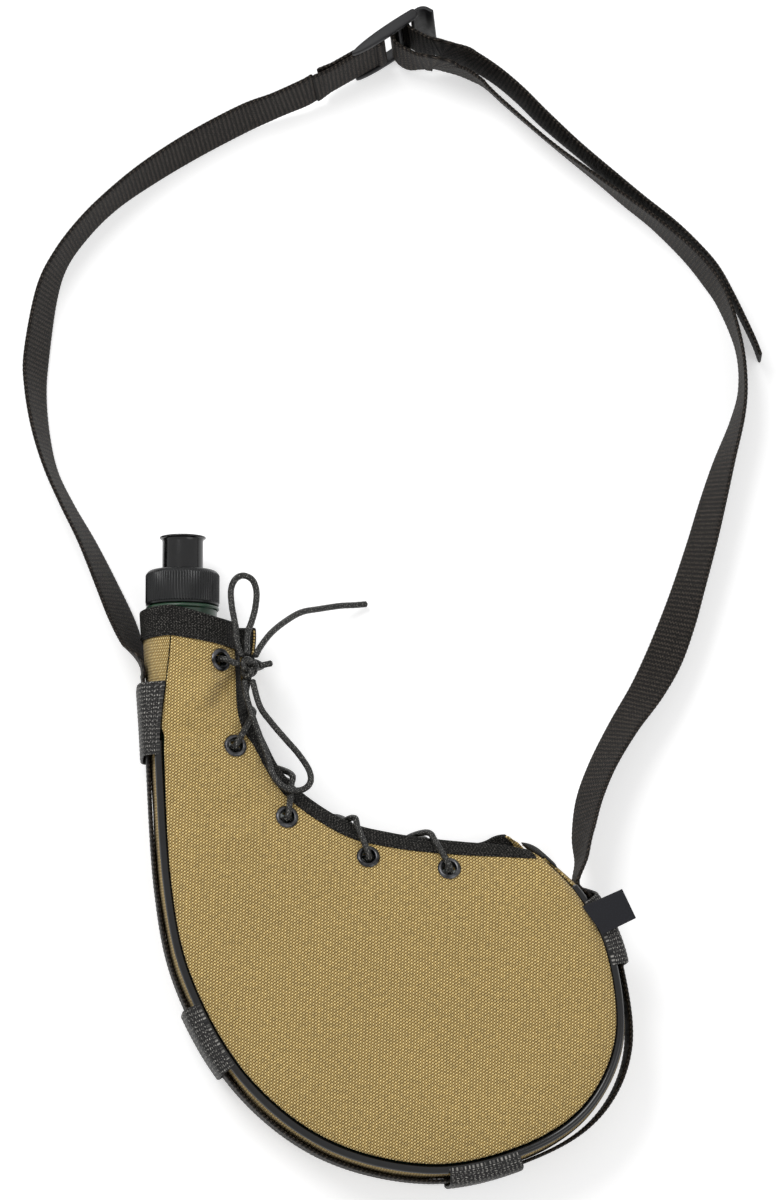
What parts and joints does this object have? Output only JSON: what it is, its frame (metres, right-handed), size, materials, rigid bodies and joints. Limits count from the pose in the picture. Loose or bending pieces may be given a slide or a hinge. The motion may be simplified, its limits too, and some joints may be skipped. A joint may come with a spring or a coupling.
{
  "type": "laced canteen on a shoulder strap",
  "caption": "Curved hollow flask with a ribbed screw cap and push-pull spout, in a laced cloth cover with piped seams, webbing loops and an adjustable shoulder strap.",
  "frame": {"origin": "on the ground under the middle of the cover, flask and spout, measured without the free strap, its buckle and the lace", "axes": "+Z out of the front panel, away from the ground that the back panel lies on; +Y along the flask's neck towards the spout; +X to the right"},
  "size_m": [0.3583, 0.5673, 0.0505],
  "materials": {
    "tan_cloth": "matte woven synthetic cloth",
    "black_tape": "matte woven tape",
    "black_piping": "glossy plastic-covered cord",
    "dark_eyelet_metal": "dark coated metal",
    "black_webbing": "ribbed woven webbing",
    "navy_label": "bare woven label",
    "dark_green_plastic": "smooth blow-moulded plastic",
    "black_plastic": "satin moulded plastic",
    "grey_rubber": "matte rubber",
    "black_lace": "waxed braided cord"
  },
  "bodies": {
    "canteen": {"cover_front": "tan_cloth", "cover_back": "tan_cloth", "gusset": "tan_cloth", "collar_tape": "black_tape", "front_edge_tape": "black_tape", "back_edge_tape": "black_tape", "gusset_end_tape": "black_tape", "piping_front": "black_piping", "piping_back": "black_piping", "eyelet_front_1": "dark_eyelet_metal", "eyelet_front_2": "dark_eyelet_metal", "eyelet_front_3": "dark_eyelet_metal", "eyelet_front_4": "dark_eyelet_metal", "eyelet_front_5": "dark_eyelet_metal", "eyelet_back_1": "dark_eyelet_metal", "eyelet_back_2": "dark_eyelet_metal", "eyelet_back_3": "dark_eyelet_metal", "eyelet_back_4": "dark_eyelet_metal", "eyelet_back_5": "dark_eyelet_metal", "strap_loop_1": "black_webbing", "strap_loop_2": "black_webbing", "strap_loop_3": "black_webbing", "strap_loop_4": "black_webbing", "label": "navy_label", "flask": "dark_green_plastic", "strap_gusset_run": "black_webbing", "strap_left": "black_webbing", "strap_right": "black_webbing", "strap_tail": "black_webbing", "strap_sewn_end": "black_webbing", "lace_laced": "black_lace", "lace_knot": "black_lace", "lace_short_loop": "black_lace", "lace_long_loop": "black_lace", "lace_long_tail": "black_lace", "lace_short_tail": "black_lace"},
    "cap_seal": {"cap_gasket": "grey_rubber"},
    "cap": {"cap": "black_plastic"},
    "spout": {"spout_valve": "black_plastic"},
    "buckle": {"buckle": "black_plastic", "strap_threaded": "black_webbing"}
  },
  "joints": [
    {"name": "cap_lift", "type": "slide", "parent": "canteen", "child": "cap_seal", "axis": [0, 1, 0], "range_m": [0, 0.006]},
    {"name": "cap_turn", "type": "hinge", "parent": "cap_seal", "child": "cap", "pos_m": [-0.0964, 0.12, 0.025], "axis": [0, 1, 0], "range_deg": [0, 540]},
    {"name": "spout_pull", "type": "slide", "parent": "cap", "child": "spout", "axis": [0, 1, 0], "range_m": [0, 0.005]},
    {"name": "buckle_tilt", "type": "hinge", "parent": "canteen", "child": "buckle", "pos_m": [-0.00227, 0.39454, 0.01694], "axis": [-0.1193, 0.1703, 0.9781], "range_deg": [0, 20]}
  ],
  "couplings": [
    {"joint": "cap_lift", "follows": "cap_turn", "m_per_rad": 0.00063662}
  ]
}
